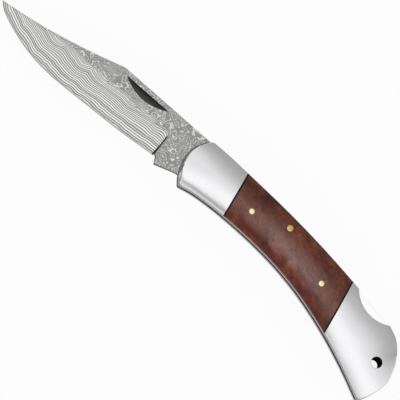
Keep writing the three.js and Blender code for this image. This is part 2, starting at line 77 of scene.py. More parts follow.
# Floor: a white studio table. Camera and mirror rays see most of it as plain white paper, and the rest
# of it is matt and keeps the knife's soft shadow.
class Value:
    """A number or colour inside a shader. Arithmetic on it adds Math nodes."""

    def __init__(self, shader, socket):
        self.shader = shader
        self.socket = socket

    def math(self, operation, *values):
        return self.shader.node("ShaderNodeMath", {"operation": operation}, dict(enumerate(values)))

    def __add__(self, other):
        return self.math("ADD", self, other)

    __radd__ = __add__

    def __sub__(self, other):
        return self.math("SUBTRACT", self, other)

    def __rsub__(self, other):
        return self.math("SUBTRACT", other, self)

    def __mul__(self, other):
        return self.math("MULTIPLY", self, other)

    __rmul__ = __mul__

    def fraction(self):
        """What is left above the whole number below it."""
        return self.math("FRACT", self)

    def size(self):
        """The number without its sign."""
        return self.math("ABSOLUTE", self)

    def above(self, start, end):
        """0 up to start, 1 from end on, and a smooth step between them."""
        return self.shader.node(
            "ShaderNodeMapRange", {"interpolation_type": "SMOOTHSTEP"},
            {"Value": self, "From Min": start, "From Max": end})


NOISE_GAIN = 4


class Shader:
    """The nodes of one material or of the world."""

    def __init__(self, tree):
        self.tree = tree

    def node(self, kind, settings=None, sockets=None, output=0):
        """A node of one kind: its settings first, then its sockets' values or links."""
        node = self.tree.nodes.new(kind)
        for key, value in (settings or {}).items():
            if key == "stops":
                ramp = node.color_ramp
                while len(ramp.elements) < len(value):
                    ramp.elements.new(1)
                for element, (position, colour) in zip(ramp.elements, value):
                    element.position = position
                    element.color = (*colour, 1)
            else:
                setattr(node, key, value)
        self.fill(node, sockets or {})
        return Value(self, node.outputs[output])

    def mix(self, share, first, second):
        """Colour that goes from the first to the second as share goes from 0 to 1."""
        colours = {
            key: value if isinstance(value, Value) else (*value, 1)
            for key, value in ((6, first), (7, second))}
        return self.node("ShaderNodeMix", {"data_type": "RGBA"}, {0: share, **colours}, output=2)

    def higher(self, first, second):
        return first.math("MAXIMUM", first, second)

    def axes(self, vector):
        """The three numbers of a vector."""
        split = self.node("ShaderNodeSeparateXYZ", sockets={0: vector}).socket.node
        return [Value(self, output) for output in split.outputs]

    def places(self, sizes=(1, 1, 1), turn=0):
        """Object coordinates from the middle of the handle's thickness, turned about Z by an angle and
        measured in the given sizes, in millimetres."""
        return self.node("ShaderNodeMapping", {"vector_type": "TEXTURE"}, {
            "Vector": self.node("ShaderNodeTexCoord", output="Object"), "Location": tuple(ORIGIN),
            "Rotation": (0, 0, math.radians(turn)), "Scale": tuple(size * MM for size in sizes)})

    def noise(self, sizes, turn=0, seed=0, detail=2, swirl=0):
        """Soft noise, mostly between -1 and 1, whose features have the given sizes in millimetres."""
        grey = self.node("ShaderNodeTexNoise", {"noise_dimensions": "4D"}, {
            "Vector": self.places(sizes, turn), "W": seed, "Scale": 1, "Detail": detail, "Distortion": swirl})
        return (grey - 0.5) * NOISE_GAIN

    def bump(self, height, distance, strength=1):
        """Surface normals of a relief whose height of 1 stands a distance in millimetres."""
        return self.node("ShaderNodeBump", sockets={
            "Height": height, "Distance": distance * MM, "Strength": strength})

    def feed(self, name, sockets):
        """Sets or links the sockets of a node that the tree already has."""
        self.fill(self.tree.nodes[name], sockets)

    def fill(self, node, sockets):
        """Links a node's sockets to values of the shader and sets the rest to plain numbers."""
        for key, value in sockets.items():
            if isinstance(value, Value):
                self.tree.links.new(value.socket, node.inputs[key])
            else:
                node.inputs[key].default_value = value


def new_material(name):
    """A material and the shader that holds its nodes."""
    material = bpy.data.materials.new(name)
    material.use_nodes = True
    return material, Shader(material.node_tree)


FLOOR_SIZE = 12
PAPER_SHARE = 0.92
FLOOR_GREY = (0.92, 0.92, 0.92, 1)
bpy.ops.mesh.primitive_plane_add(size=FLOOR_SIZE, location=(0, 0, 0))
floor = bpy.context.object
floor.name = "floor"
floor_material, shader = new_material("white_table")
matt = shader.node("ShaderNodeBsdfDiffuse", sockets={"Color": FLOOR_GREY})
paper = shader.node("ShaderNodeEmission", sockets={"Color": (1, 1, 1, 1), "Strength": 1})
seen = shader.node("ShaderNodeLightPath", output="Is Camera Ray")
mirrored = shader.node("ShaderNodeLightPath", output="Is Glossy Ray")
through = shader.node("ShaderNodeLightPath", output="Is Transmission Ray")
white = (seen + mirrored + through).above(0, 1) * PAPER_SHARE
surface = shader.node("ShaderNodeMixShader", sockets={0: white, 1: matt, 2: paper})
shader.feed("Material Output", {"Surface": surface})
floor.data.materials.append(floor_material)


# Light: one soft studio dome. It is brightest on the belly's side of straight up and falls off softly
# towards the spine and the butt. Polished rims mirror two dark cards: a narrow one on the belly's side,
# with a gap towards the tip, and a wide one past the tip. The camera sees plain white past the floor.
LIGHT_TURN = math.radians(-25)
LIGHT_STRENGTH = 1.5
LIGHT_STOPS = [
    (-1, 0.5), (-0.85, 0.64), (-0.5, 0.66), (-0.34, 0.71), (-0.28, 0.81), (-0.2, 0.93), (-0.1, 0.98),
    (0, 0.97), (0.065, 0.92), (0.18, 0.78), (0.28, 0.65), (0.4, 0.5), (0.52, 0.43), (0.65, 0.37),
    (0.9, 0.34)]
CARD_GLOW = 0.2
CARD_PLACE = -0.36
CARD_HALF_WIDTH = 0.028
CARD_SOFTNESS = 0.036
CARD_GAP = -0.25
CARD_GAP_HALF = 0.09
CARD_FADE = 0.04
TIP_CARD = (-0.75, -0.5)
world = bpy.data.worlds.new("studio")
world.use_nodes = True
bpy.context.scene.world = world
shader = Shader(world.node_tree)
direction = shader.node("ShaderNodeTexCoord", output="Generated")
along = shader.axes(shader.node("ShaderNodeMapping", sockets={
    "Vector": direction, "Rotation": (0, 0, -LIGHT_TURN)}))[1]
glow = shader.node(
    "ShaderNodeValToRGB", {"stops": [((place + 1) / 2, (grey,) * 3) for place, grey in LIGHT_STOPS]},
    {0: along * 0.5 + 0.5})
east, north = shader.axes(direction)[:2]
across_card = (north - CARD_PLACE).size().above(CARD_HALF_WIDTH, CARD_HALF_WIDTH + CARD_SOFTNESS)
beside_gap = (east - CARD_GAP).size().above(CARD_GAP_HALF - CARD_FADE, CARD_GAP_HALF + CARD_FADE)
cards = shader.higher((1 - across_card) * beside_gap, 1 - east.above(*TIP_CARD))
glow = shader.mix(cards, glow, (CARD_GLOW,) * 3)
dome = shader.node("ShaderNodeBackground", sockets={"Color": glow, "Strength": LIGHT_STRENGTH})
plain = shader.node("ShaderNodeBackground", sockets={"Color": (1, 1, 1, 1), "Strength": 1})
seen = shader.node("ShaderNodeLightPath", output="Is Camera Ray")
shader.feed("World Output", {
    "Surface": shader.node("ShaderNodeMixShader", sockets={0: seen, 1: dome, 2: plain})})
bpy.context.scene.view_settings.view_transform = "Standard"


# Blade: a clip-point blade ground from one bar of pattern-welded steel. The flats and the tang keep
# the bar's thickness, the ground faces run down to a fine edge, and the nail nick is milled last.
BLADE_THICKNESS = 2.8
SPINE_Y = 7.1
CLIP_CURVE = np.array([[-100, -4.15], [-86, -2.15], [-72, 0.75], [-60, 3.9], [-49.5, 7.1]])
EDGE_CURVE = np.array([
    [-100, -4.35], [-97.8, -6.3], [-94, -8.25], [-90, -9.75], [-84, -11.6], [-77, -13], [-68, -13.65],
    [-52, -13.05], [-36, -12.25], [-20.6, -10.75]])
GRIND_TOP_SHARE = 0.12
GRIND_SOFTNESS_SHARE = 0.025
GRIND_ROWS_HALF = 0.045
GRIND_ROWS_REACH = 0.06
LOW_ROWS, GRIND_ROWS, HIGH_ROWS = 12, 7, 6
EDGE_BEVEL_SHARE = 0.15
EDGE_BEVEL_HEIGHT = 0.9
EDGE_BEVEL_THICKNESS = 0.5
EDGE_THICKNESS = 0.1
TIP_THICKNESS = 0.9
TAPER_START_X = -58
TIP_STATIONS = 16
TIP_CROWDING = 1.6
TIP_LENGTH = 6
STATION_SPACING = 0.6
PLUNGE_STATIONS = 12
PLUNGE_X = -21.1
PLUNGE_LENGTH = 0.7
TANG_START = (PLUNGE_X + PLUNGE_LENGTH, -10.2)
TANG_START_X = TANG_START[0]
TANG_CORNERS = np.array([[-19.6, -10.25], [-18.75, -11.7], [-18, -13.1], [-9.6, -10.2]])
KICK_END = (-5.32, -10.39)
TANG_CORNER_RADII = (0.5, 0.5, 0.4, 0.8)
TANG_RADIUS = 6.8
TANG_TANGENT_ANGLE = -92.7
CAM_RADIUS = 7.8
CAM_ANGLES = {"heel": 15, "crest": 60, "front": 70}
PIVOT_BORE_RADIUS = 2.1
NICK_CENTRE_X = -36.85
NICK_TOP_Y = 5.23
NICK_LENGTH = 20.7
NICK_HEIGHT = 3.06
NICK_DEPTH = 0.7
NICK_OVERRUN = 0.2
WHEEL_POINTS = 720
CHAMFER = 0.12
CHAMFER_SHARE = 0.1
CURVE_STEPS = 40
MITRE_LIMIT = 0.3
LEAST_AREA = 1e-9
SHARP_ANGLE = math.radians(30)
WELD_GAP = 0.0002


def evenly(line, spacing):
    """The same line of points, spaced evenly along its length."""
    lengths = np.append(0, np.cumsum(np.linalg.norm(np.diff(line, axis=0), axis=1)))
    places = np.linspace(0, lengths[-1], max(3, int(lengths[-1] / spacing) + 1))
    return np.stack([np.interp(places, lengths, line[:, axis]) for axis in (0, 1)], 1)


def smooth_line(through, spacing=0.5):
    """Smooth curve through the given points: between two of them it is the cubic whose end slopes
    weigh the chords on both sides by the square roots of their lengths."""
    points = np.vstack([2 * through[0] - through[1], through, 2 * through[-1] - through[-2]])
    roots = np.sqrt(np.linalg.norm(np.diff(points, axis=0), axis=1))[:, None]
    a, b, c, d = points[:-3], points[1:-2], points[2:-1], points[3:]
    before, own, after = roots[:-2], roots[1:-1], roots[2:]
    start = ((b - a) / before - (c - a) / (before + own) + (c - b) / own) * own
    end = ((c - b) / own - (d - b) / (own + after) + (d - c) / after) * own
    t = np.linspace(0, 1, CURVE_STEPS, endpoint=False)[:, None, None]
    cubic = b + start * t + (3 * (c - b) - 2 * start - end) * t**2 + (2 * (b - c) + start + end) * t**3
    return evenly(np.vstack([cubic.transpose(1, 0, 2).reshape(-1, 2), through[-1:]]), spacing)


def arc(centre, radius, start, end, count):
    """Points on a circle from one angle to another, in degrees."""
    angles = np.radians(np.linspace(start, end, count))
    return np.asarray(centre) + radius * np.stack([np.cos(angles), np.sin(angles)], 1)


def round_hole(centre, radius, count=48):
    """A hole's border, clockwise."""
    return arc(centre, radius, 360, 0, count + 1)[:-1]


def parabola(start, corner, end, count):
    """Points on the curve from start to end that aims at the corner from both: the three places weighed
    by the squares and twice the product of the shares left and done."""
    t = np.linspace(0, 1, count)[:, None]
    return (1 - t) ** 2 * start + 2 * t * (1 - t) * corner + t**2 * end


def rounded_path(corners, radii, count=6):
    """A path whose inner corners are replaced by parabolas tangent to both of their sides."""
    path = [corners[:1]]
    for before, corner, after, radius in zip(corners, corners[1:], corners[2:], radii):
        start = corner + (before - corner) * radius / np.linalg.norm(before - corner)
        end = corner + (after - corner) * radius / np.linalg.norm(after - corner)
        path.append(parabola(start, corner, end, count))
    return np.vstack([*path, corners[-1:]])


def offset(line, distance, closed=True):
    """The line moved to its left by a distance, with mitred corners."""
    if closed:
        steps = np.roll(line, -1, axis=0) - line
        steps = np.vstack([steps[-1:], steps])
    else:
        steps = np.diff(line, axis=0)
        steps = np.vstack([steps[:1], steps, steps[-1:]])
    steps = steps / np.linalg.norm(steps, axis=1)[:, None]
    both = steps[:-1] + steps[1:]
    turn = 1 + np.sum(steps[:-1] * steps[1:], axis=1)[:, None]
    return line + distance * np.stack([-both[:, 1], both[:, 0]], 1) / np.maximum(turn, MITRE_LIMIT)


def raised(line, height):
    """A flat line of points at a height."""
    return np.column_stack([line, np.full(len(line), height)])


def grid_faces(columns, rows, first=0, wrap=False):
    """Four-cornered faces of a grid whose points are numbered row by row within each column."""
    u = np.arange(columns if wrap else columns - 1)[:, None]
    v = np.arange(rows - 1)[None]
    here = u * rows + v
    there = (u + 1) % columns * rows + v
    return first + np.stack([here, there, there + 1, here + 1], -1).reshape(-1, 4)


def cap_faces(outline, holes):
    """Triangles that fill a flat outline around its holes, numbered in the order of the points."""
    loops = [[Vector((*point, 0)) for point in loop] for loop in (outline, *holes)]
    faces = np.array(tessellate_polygon(loops))
    points = np.vstack([outline, *holes])
    a, b, c = (points[faces[:, corner]] for corner in range(3))
    area = (b[:, 0] - a[:, 0]) * (c[:, 1] - a[:, 1]) - (b[:, 1] - a[:, 1]) * (c[:, 0] - a[:, 0])
    faces[area < 0] = faces[area < 0][:, ::-1]
    return faces[np.abs(area) > LEAST_AREA]


def new_piece(name, points, faces):
    """Object from points in millimetres about the pivot's plane, shaded smooth but for sharp edges."""
    mesh = bpy.data.meshes.new(name)
    mesh.from_pydata((points * MM + ORIGIN).tolist(), [], [face for part in faces for face in part.tolist()])
    mesh.polygons.foreach_set("use_smooth", np.ones(len(mesh.polygons), bool))
    mesh.set_sharp_from_angle(angle=SHARP_ANGLE)
    piece = bpy.data.objects.new(name, mesh)
    bpy.context.scene.collection.objects.link(piece)
    return piece


def weld(piece):
    """Joins the points that lie on each other."""
    modifier = piece.modifiers.new("weld", "WELD")
    modifier.merge_threshold = WELD_GAP * MM
    apply_modifiers(piece)
    piece.data.set_sharp_from_angle(angle=SHARP_ANGLE)


def apply_modifiers(piece):
    """Puts the piece's finished shape into its mesh."""
    depsgraph = bpy.context.evaluated_depsgraph_get()
    finished = bpy.data.meshes.new_from_object(piece.evaluated_get(depsgraph))
    finished.name = piece.name
    piece.modifiers.clear()
    piece.data = finished


def cut(piece, cutters):
    """Cuts closed solids out of a piece and throws them away."""
    for cutter in cutters:
        modifier = piece.modifiers.new("cut", "BOOLEAN")
        modifier.operation = "DIFFERENCE"
        modifier.solver = "EXACT"
        modifier.object = cutter
    apply_modifiers(piece)
    for cutter in cutters:
        bpy.data.objects.remove(cutter)


def blade_stations():
    """Places along the blade, closer together at the tip and at the plunge line."""
    tip = CLIP_CURVE[0, 0] + np.linspace(0, 1, TIP_STATIONS) ** TIP_CROWDING * TIP_LENGTH
    body = np.arange(tip[-1] + STATION_SPACING, PLUNGE_X - STATION_SPACING, STATION_SPACING)
    plunge = np.linspace(PLUNGE_X - STATION_SPACING / 2, TANG_START_X, PLUNGE_STATIONS)
    return np.concatenate([tip, body, plunge])


def blade_section(x):
    """Heights and half thicknesses of the near side, from the edge to the spine. The half thickness
    falls below the grind line by its slope times a softened depth, and again at the edge bevel."""
    clip = smooth_line(CLIP_CURVE)
    edge = np.vstack([smooth_line(EDGE_CURVE), TANG_START])
    top = np.interp(x, *np.vstack([clip, [[PIVOT[0], SPINE_Y]]]).T)
    bottom = np.interp(x, *edge.T)
    height = top - bottom
    grind = np.minimum(0, top - GRIND_TOP_SHARE * height)
    bevel = bottom + np.minimum(EDGE_BEVEL_HEIGHT, EDGE_BEVEL_SHARE * height)
    taper = np.clip((TAPER_START_X - x) / (TAPER_START_X - CLIP_CURVE[0, 0]), 0, 1)
    half = (BLADE_THICKNESS + (TIP_THICKNESS - BLADE_THICKNESS) * taper) / 2
    chamfer = np.minimum(CHAMFER, height * CHAMFER_SHARE)
    reach = GRIND_ROWS_REACH * height
    low_rows = bevel[:, None] + np.linspace(0, 1, LOW_ROWS) * (grind - bevel - reach)[:, None]
    mid_rows = grind[:, None] + np.linspace(-GRIND_ROWS_HALF, GRIND_ROWS_HALF, GRIND_ROWS) * height[:, None]
    high_rows = (grind + reach)[:, None] + np.linspace(0, 1, HIGH_ROWS) * (
        top - chamfer - grind - reach)[:, None]
    y = np.column_stack([bottom, low_rows, mid_rows, high_rows, top])
    slope = (half - EDGE_BEVEL_THICKNESS / 2) / (grind - bevel)
    depth = grind[:, None] - y
    softness = GRIND_SOFTNESS_SHARE * height[:, None]
    z = half[:, None] - slope[:, None] * (depth + np.sqrt(depth**2 + softness**2)) / 2
    z[:, 0] = EDGE_THICKNESS / 2
    z[:, -1] = half - chamfer
    step = np.clip((x - PLUNGE_X) / PLUNGE_LENGTH, 0, 1)
    plunge = (step**2 * (3 - 2 * step))[:, None]
    y[:, 1:2] += (y[:, :1] + chamfer[:, None] - y[:, 1:2]) * plunge
    full = np.repeat(half[:, None], y.shape[1], 1)
    full[:, [0, -1]] -= chamfer[:, None]
    return y, z * (1 - plunge) + full * plunge


def tang_outline():
    """The tang's border from the plunge line's foot, round the heel and the lock notch, to the spine."""
    heel = np.vstack([TANG_START, TANG_CORNERS, KICK_END])
    round_tang = arc(PIVOT, TANG_RADIUS, TANG_TANGENT_ANGLE, CAM_ANGLES["heel"], 40)
    crest = arc(PIVOT, CAM_RADIUS, CAM_ANGLES["crest"], CAM_ANGLES["front"], 5)
    seat = arc(PIVOT, TANG_RADIUS, CAM_ANGLES["front"], 90, 5)
    shoulder = np.array([[PIVOT[0], SPINE_Y], [TANG_START_X, SPINE_Y]])
    return np.vstack([rounded_path(heel, TANG_CORNER_RADII), round_tang[1:], crest, seat, shoulder])


def make_blade():
    """Ground part as a closed loft of sections, and the flat tang as a plate that carries on from it."""
    x = blade_stations()
    y, z = blade_section(x)
    columns, rows = y.shape
    wide = np.repeat(x[:, None], rows, 1)
    near = np.stack([wide, y, z], -1)
    far = np.stack([wide, y, -z], -1)
    ring = np.concatenate([near, far[:, ::-1]], 1)
    count = 2 * rows
    points = [ring.reshape(-1, 3)]
    index = np.arange(columns * count).reshape(columns, count)
    around = np.concatenate([index, index[:, :1]], 1)
    loft = np.stack([around[:-1, :-1], around[1:, :-1], around[1:, 1:], around[:-1, 1:]], -1).reshape(-1, 4)
    up = np.arange(rows - 1)
    tip = np.stack([up, up + 1, count - 2 - up, count - 1 - up], -1)
    faces = [loft, tip]

    outline = tang_outline()
    inner = offset(outline, CHAMFER, closed=False)
    inner[[0, -1], 0] = TANG_START_X
    inner[0, 1] = outline[0, 1] + CHAMFER
    inner[-1, 1] = outline[-1, 1] - CHAMFER
    seam = np.stack([np.full(rows - 2, TANG_START_X), y[-1, 1:-1]], 1)[::-1]
    border = np.vstack([inner[:-1], seam[:-1], inner[:1]])[:-1]
    bore = round_hole(PIVOT, PIVOT_BORE_RADIUS)
    cap = cap_faces(border, [bore])
    half = BLADE_THICKNESS / 2
    flat = np.vstack([border, bore])
    first = columns * count
    for side in (1, -1):
        points.append(raised(flat, side * half))
        faces.append(first + (cap if side > 0 else cap[:, ::-1]))
        first += len(flat)
    levels = [(inner, half), (outline, half - CHAMFER), (outline, CHAMFER - half), (inner, -half)]
    wall = np.stack([raised(line, level) for line, level in levels], 1)
    points.append(wall.reshape(-1, 3))
    faces.append(grid_faces(len(outline), len(levels), first)[:, ::-1])
    first += wall.size // 3
    tube = np.stack([raised(bore, level) for level in (half, -half)], 1)
    points.append(tube.reshape(-1, 3))
    faces.append(grid_faces(len(bore), 2, first, wrap=True)[:, ::-1])
    piece = new_piece("patterned_blade", np.vstack(points), faces)
    weld(piece)
    return piece


def nick_cutter():
    """A large tapered wheel whose rim dips into the near flat along a straight upper edge."""
    wheel = (NICK_LENGTH**2 / 4 + NICK_DEPTH**2) / (2 * NICK_DEPTH)
    overrun = NICK_OVERRUN * NICK_HEIGHT
    inner_radius = wheel - NICK_DEPTH * (NICK_HEIGHT + overrun) / NICK_HEIGHT
    centre_z = BLADE_THICKNESS / 2 + wheel - NICK_DEPTH
    angles = np.linspace(0, 2 * np.pi, WHEEL_POINTS, endpoint=False)
    levels = ((NICK_TOP_Y, wheel), (NICK_TOP_Y - NICK_HEIGHT - overrun, inner_radius))
    rims = [np.stack([NICK_CENTRE_X + radius * np.cos(angles), np.full(WHEEL_POINTS, level),
                      centre_z + radius * np.sin(angles)], 1) for level, radius in levels]
    points = np.stack(rims, 1).reshape(-1, 3)
    discs = [np.arange(0, len(points), 2)[None, ::-1], np.arange(1, len(points), 2)[None]]
    return new_piece("nick_cutter", points, [grid_faces(WHEEL_POINTS, 2, wrap=True), *discs])


def distance_to(line, points):
    """Shortest distance from each point to a line of points, over all of its stretches."""
    starts = line[:-1]
    steps = np.diff(line, axis=0)
    rays = points[..., None, :] - starts
    share = np.clip((rays * steps).sum(-1) / (steps * steps).sum(-1), 0, 1)
    return np.linalg.norm(rays - share[..., None] * steps, axis=-1).min(-1)


def flat_places(piece):
    """Where the points of a piece lie along and across the knife, in millimetres."""
    points = np.empty(len(piece.data.vertices) * 3)
    piece.data.vertices.foreach_get("co", points)
    return (points.reshape(-1, 3) - ORIGIN)[:, :2] / MM


def mark(piece, name, values):
    """Stores a number for each point of a piece, which its material reads."""
    piece.data.attributes.new(name, "FLOAT", "POINT").data.foreach_set("value", values)


def mark_edge_distance(piece):
    """Gives each point its distance from the cutting edge. Above the grind line it has the distance of
    the grind line below it, and behind the plunge line that of the plunge line's head."""
    places = flat_places(piece)
    places[:, 1] = np.minimum(places[:, 1], 0)
    places[places[:, 0] > TANG_START_X - PLUNGE_LENGTH / 2] = (TANG_START_X, 0)
    mark(piece, "edge_distance", distance_to(smooth_line(EDGE_CURVE, 1), places))


LAYERS_PER_MM = 1.1
LAYER_CROWDING = 0.02
GROUND_COLOURS = ((0.235, 0.235, 0.23), (0.73, 0.73, 0.72))
FLAT_COLOURS = ((0.29, 0.29, 0.285), (0.64, 0.64, 0.63))
PLAIN_COLOUR = (0.45, 0.45, 0.445)
EDGE_COLOUR = (0.4, 0.4, 0.395)
BLADE_SHADE_COLOUR = (0.05, 0.05, 0.05)
NICK_SHADE_COLOURS = ((0.05, 0.05, 0.047), (0.012, 0.012, 0.012))
RAGGED_BORDER = {"sizes": (3.4, 2.4, 2.4), "seed": 1, "detail": 3}
LONG_WAVES = {"sizes": (9, 16, 16), "turn": -14, "seed": 2, "detail": 1}
SHORT_WAVES = {"sizes": (3.4, 8, 8), "turn": -20, "seed": 3, "detail": 1}
WIDE_LOOPS = {"sizes": (4, 3.2, 3.2), "seed": 4, "detail": 1}
CURLS = {"sizes": (1.7, 1.4, 1.4), "seed": 13, "detail": 1}
PLAIN_PATCHES = {"sizes": (6, 3.2, 3.2), "turn": -10, "seed": 12}
RAGGEDNESS = 1.2
FLAT_BORDER = (-1.8, 0.6)
WAVE_GROWTH = 0.17
WAVE_START = 0.4
SHORT_WAVE_SHARE = 0.33
LOOP_COUNT = 2.5
CURL_SHARE = 0.35
RICASSO_CURL_SHARE = 0.2
LINE_BORDER = (0.36, 0.78)
LINE_CHANGE = 0.2
FLAT_LINE_LOSS = 0.32
OWN_LIGHT = 0.35
EDGE_BORDER = (0.35, 0.8)
NEAR_GRIND = (-5, -1.5)
PLAIN_BORDER = (0, 0.45)
PLAIN_SHARE = 0.9
CREASE_SHADE_X = -20.7
CREASE_SHADE_MIDDLE_Y = -5.6
CREASE_SHADE_SLANT = 0.093
CREASE_SHADE_BORDER = (0.08, 0.34)
CREASE_SHADE_HEAD = (-2.4, -1.2)
SHADE_LINE_X = -10.75
SHADE_LINE_Y = -1.8
SHADE_LINE_CURVE = (0.0009, 0.04)
SHADE_LINE_WIDTH = 0.85
SHADE_LINE_SHARE = 0.85
NICK_FLOOR = (0.003, 0.02)
NICK_LOW = (1, 1.4)
NICK_HIGH = (5.4, 5.8)


def patterned_steel():
    """Etched layers of two steels. The grind cuts them as wavy lines along the edge, crowded towards
    the grind line, and the flats show them as the loops of a contour map. Each layer has a brightness of
    its own, and the etch has left plain patches. A dark line of painted shade lies against the bolsters'
    curve, whose distance along X is a cubic of the height. Painted shade also darkens the plunge line's
    crease, the blade's sideways walls and the nail nick."""
    material, shader = new_material("patterned_steel")
    x, y, z = shader.axes(shader.places())
    distance = shader.node("ShaderNodeAttribute", {"attribute_name": "edge_distance"}, output="Fac")
    ricasso = x.above(PLUNGE_X, TANG_START_X)
    flat = shader.higher((y + shader.noise(**RAGGED_BORDER) * RAGGEDNESS).above(*FLAT_BORDER), ricasso)
    waves = shader.noise(**LONG_WAVES) * (distance * WAVE_GROWTH + WAVE_START)
    waves = waves + shader.noise(**SHORT_WAVES) * SHORT_WAVE_SHARE
    loops = shader.noise(**WIDE_LOOPS) * LOOP_COUNT
    loops = loops + shader.noise(**CURLS) * (ricasso * RICASSO_CURL_SHARE + CURL_SHARE)
    layer = (distance * LAYER_CROWDING + LAYERS_PER_MM) * distance + waves + loops * flat
    within = layer.fraction()
    own = shader.node(
        "ShaderNodeTexWhiteNoise", {"noise_dimensions": "1D"}, {"W": layer - within}, output="Value")
    ridge = 1 - (within - 0.5).size() * 2
    line = (ridge + own * LINE_CHANGE - flat * FLAT_LINE_LOSS).above(*LINE_BORDER)
    light = line * (own * OWN_LIGHT + (1 - OWN_LIGHT))
    dark_colour = shader.mix(flat, GROUND_COLOURS[0], FLAT_COLOURS[0])
    light_colour = shader.mix(flat, GROUND_COLOURS[1], FLAT_COLOURS[1])
    colour = shader.mix(light, dark_colour, light_colour)
    near_grind = y.above(*NEAR_GRIND) * (1 - flat * 0.6)
    plain = shader.noise(**PLAIN_PATCHES).above(*PLAIN_BORDER) * near_grind * PLAIN_SHARE
    colour = shader.mix(plain, colour, PLAIN_COLOUR)
    colour = shader.mix(distance.above(*EDGE_BORDER), EDGE_COLOUR, colour)
    # Painted shade: the plunge line's slanted crease is darkened up to its head.
    beside_crease_shade = ((y - CREASE_SHADE_MIDDLE_Y) * CREASE_SHADE_SLANT + x - CREASE_SHADE_X).size()
    colour = shader.mix(beside_crease_shade.above(*CREASE_SHADE_BORDER) + y.above(*CREASE_SHADE_HEAD), BLADE_SHADE_COLOUR, colour)
    # Painted shade: a dark line on the blade along the bolsters' front curve, where the two meet.
    rise = y - SHADE_LINE_Y
    cubic, square = SHADE_LINE_CURVE
    to_bolster = (rise * cubic + square) * rise * rise + SHADE_LINE_X - x
    shade_line = (1 - to_bolster.above(0, SHADE_LINE_WIDTH)) * SHADE_LINE_SHARE
    colour = shader.mix(shade_line, colour, BLADE_SHADE_COLOUR)
    # Painted shade: the blade's walls, whose normals lie sideways, are painted near black.
    upright = shader.axes(shader.node("ShaderNodeTexCoord", output="Normal"))[2].size()
    colour = shader.mix(upright.above(0.5, 0.8), BLADE_SHADE_COLOUR, colour)
    # Painted shade: the nail nick is painted near black, darkest towards its deep top edge.
    shallow, deep = NICK_FLOOR
    below_flat = 1 - z.above(BLADE_THICKNESS / 2 - deep, BLADE_THICKNESS / 2 - shallow)
    in_height = y.above(*NICK_LOW) * (1 - y.above(*NICK_HIGH)) * z.above(0, 0.4)
    in_length = (x - NICK_CENTRE_X).size().above(NICK_LENGTH / 2, NICK_LENGTH / 2 + 0.5)
    nick = below_flat * in_height * (1 - in_length)
    deeper = y.above(NICK_TOP_Y - NICK_HEIGHT, NICK_TOP_Y)
    colour = shader.mix(nick, colour, shader.mix(deeper, *NICK_SHADE_COLOURS))
    shader.feed("Principled BSDF", {
        "Base Color": colour, "Metallic": 0.9 - nick * 0.5, "Roughness": 0.44 - light * 0.12,
        "Normal": shader.bump(light, 0.01, 0.5)})
    return material


blade = make_blade()
cut(blade, [nick_cutter()])
blade.data.materials.clear()
blade.data.materials.append(patterned_steel())
mark_edge_distance(blade)
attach(blade, "blade")
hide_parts("blade")


# Front bolsters: polished steel caps over the pivot, one on each liner. Each is ground to a crown that
# rises from its rim and runs out flat along the middle of the handle.
SPINE_CURVE = np.array([
    [-6.9, 7.3], [0, 7.4], [12, 7.0], [28, 6.3], [44, 5.1], [60, 3.25], [74, 1.2], [87.3, -0.94]])
FRONT_CURVE = np.array([[-6.9, 7.3], [-10, 2.2], [-10.75, -1.8], [-10.1, -5.9], [-8.7, -9.9], [-6, -13.5]])
BELLY_CURVE = np.array([
    [-6, -13.5], [0, -12.2], [10, -11.3], [22, -11.1], [35, -11.7], [45, -12.9], [56, -15.1], [70, -19.2],
    [84, -24.6], [95.6, -29.9]])
BUTT_CURVE = np.array([
    [95.6, -29.9], [97.6, -27.2], [99.4, -22.6], [100.2, -18.2], [99.5, -14.5], [97, -8.6], [92.5, -3.5],
    [87.3, -0.94]])
FRONT_JOINT = np.array([[10.6, 6.8], [13.9, -11.2]])
REAR_JOINT = np.array([[66.4, 2.3], [70.7, -19.2]])
COVER_INSET = 0.15
BACK_INSET = 0.05
COVER_CORNER = 0.5
CHIN_CORNER = 1.3
COVER_FLOOR = 2.92
RIM_HEIGHT = 4.2
CROWN_RISE = 1.45
CROWN_POWER = 2.2
END_ROUNDING = 0.3
CHIN_POWER = 3.1
CHIN_ROUNDING = 1.2
CHIN_PLACE = (3, -6)
CHIN_SIZE = (9, 5)
RIM_ROUNDING = 0.55
RIM_DROP = 0.22
BUTT_TURN_Y = -7
BOLSTER_EDGE = 0.1
EASE_ANGLE = math.radians(35)
LEAST_DISTANCE = 0.02
CORNER_STEPS = 4
HEAD_SHIFT = (0.12, -0.2)
CHIN_SHIFT = (0.02, 0.24)
FOOT_SHIFT = (0, 0.24)
BOLSTER_POINTS = 60
LONG_CROWDING = 0.3
SHORT_CROWDING = 0.5
SIDES = {"near": 1, "far": -1}

spine = smooth_line(SPINE_CURVE)
front = smooth_line(FRONT_CURVE)
belly = smooth_line(BELLY_CURVE)
butt = smooth_line(BUTT_CURVE)
crown_back = np.vstack([spine, butt[butt[:, 1] > BUTT_TURN_Y][-2::-1]])
crown_foot = butt[butt[:, 1] < BUTT_TURN_Y]


